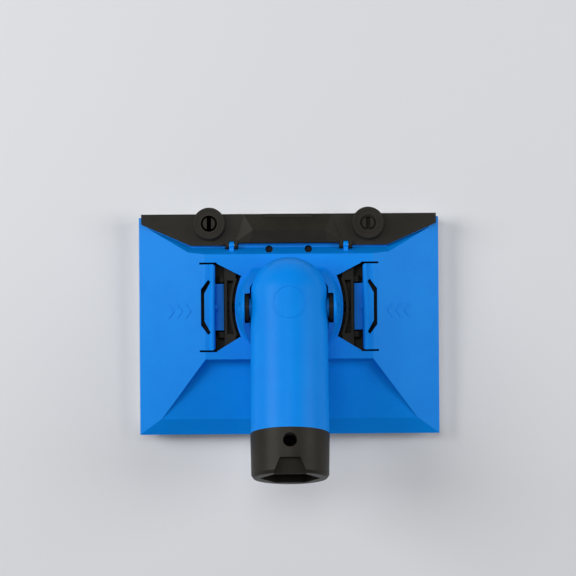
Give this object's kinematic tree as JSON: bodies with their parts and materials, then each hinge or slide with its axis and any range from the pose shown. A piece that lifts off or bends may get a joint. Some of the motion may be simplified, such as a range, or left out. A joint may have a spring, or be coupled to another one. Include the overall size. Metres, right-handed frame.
{
  "type": "paint pad edger",
  "caption": "Paint pad edger with a sloping shell, flip-up guide bar and wheels, squeeze-release tabs, replaceable pad and a tilting handle with a pole socket.",
  "frame": {"origin": "centre of the pad's painting face", "axes": "+X along the guide bar, +Y from the handle's free end to the guide wheels, +Z out of the back of the tool, away from the painted surface"},
  "size_m": [0.127, 0.1146, 0.0631],
  "materials": {
    "blue_plastic": "satin",
    "black_plastic": "satin",
    "steel": "bright zinc",
    "foam": "open-cell foam",
    "flock": "flocked nap"
  },
  "bodies": {
    "shell": {"shell": "blue_plastic", "base_frame": "black_plastic", "frame_screws": "steel", "pivot_pin": "steel", "friction_washer_left": "black_plastic", "friction_washer_right": "black_plastic", "bar_hinge_pin_left": "steel", "bar_hinge_pin_right": "steel", "release_spring_left": "steel", "release_spring_right": "steel"},
    "handle": {"handle_body": "blue_plastic", "pole_socket": "black_plastic"},
    "guide_bar": {"guide_bar": "black_plastic"},
    "wheel_left": {"guide_wheel_left": "black_plastic"},
    "wheel_right": {"guide_wheel_right": "black_plastic"},
    "pad": {"pad_plate": "black_plastic", "pad_foam": "foam", "pad_face": "flock"},
    "tab_left": {"squeeze_tab_left": "blue_plastic"},
    "tab_right": {"squeeze_tab_right": "blue_plastic"},
    "catch_left": {"release_catch_left": "black_plastic"},
    "catch_right": {"release_catch_right": "black_plastic"}
  },
  "joints": [
    {"name": "handle_tilt", "type": "hinge", "parent": "shell", "child": "handle", "pos_m": [0, 0.007, 0.031], "axis": [-1, 0, 0], "range_deg": [0, 75]},
    {"name": "bar_flip", "type": "hinge", "parent": "shell", "child": "guide_bar", "pos_m": [0, 0.0334, 0.0117], "axis": [1, 0, 0], "range_deg": [0, 45]},
    {"name": "left_wheel_spin", "type": "hinge", "parent": "guide_bar", "child": "wheel_left", "pos_m": [-0.0335, 0.0425, 0.0144], "axis": [0, 0, 1], "continuous": true},
    {"name": "right_wheel_spin", "type": "hinge", "parent": "guide_bar", "child": "wheel_right", "pos_m": [0.0335, 0.0425, 0.0144], "axis": [0, 0, 1], "continuous": true},
    {"name": "pad_release", "type": "slide", "parent": "shell", "child": "pad", "axis": [0, 0, -1], "range_m": [0, 0.008]},
    {"name": "left_tab_squeeze", "type": "slide", "parent": "shell", "child": "tab_left", "axis": [1, 0, 0], "range_m": [0, 0.002], "stiffness_N_per_m": 600, "springref_m": -0.002},
    {"name": "right_tab_squeeze", "type": "slide", "parent": "shell", "child": "tab_right", "axis": [-1, 0, 0], "range_m": [0, 0.002], "stiffness_N_per_m": 600, "springref_m": -0.002},
    {"name": "left_catch_slide", "type": "slide", "parent": "shell", "child": "catch_left", "axis": [1, 0, 0], "range_m": [0, 0.002], "stiffness_N_per_m": 600, "springref_m": -0.002, "deforming": ["release_spring_left"]},
    {"name": "right_catch_slide", "type": "slide", "parent": "shell", "child": "catch_right", "axis": [-1, 0, 0], "range_m": [0, 0.002], "stiffness_N_per_m": 600, "springref_m": -0.002, "deforming": ["release_spring_right"]}
  ],
  "couplings": [
    {"joint": "left_tab_squeeze", "follows": "pad_release", "ratio": 0.25},
    {"joint": "right_tab_squeeze", "follows": "pad_release", "ratio": 0.25},
    {"joint": "left_catch_slide", "follows": "pad_release", "ratio": 0.25},
    {"joint": "right_catch_slide", "follows": "pad_release", "ratio": 0.25}
  ]
}
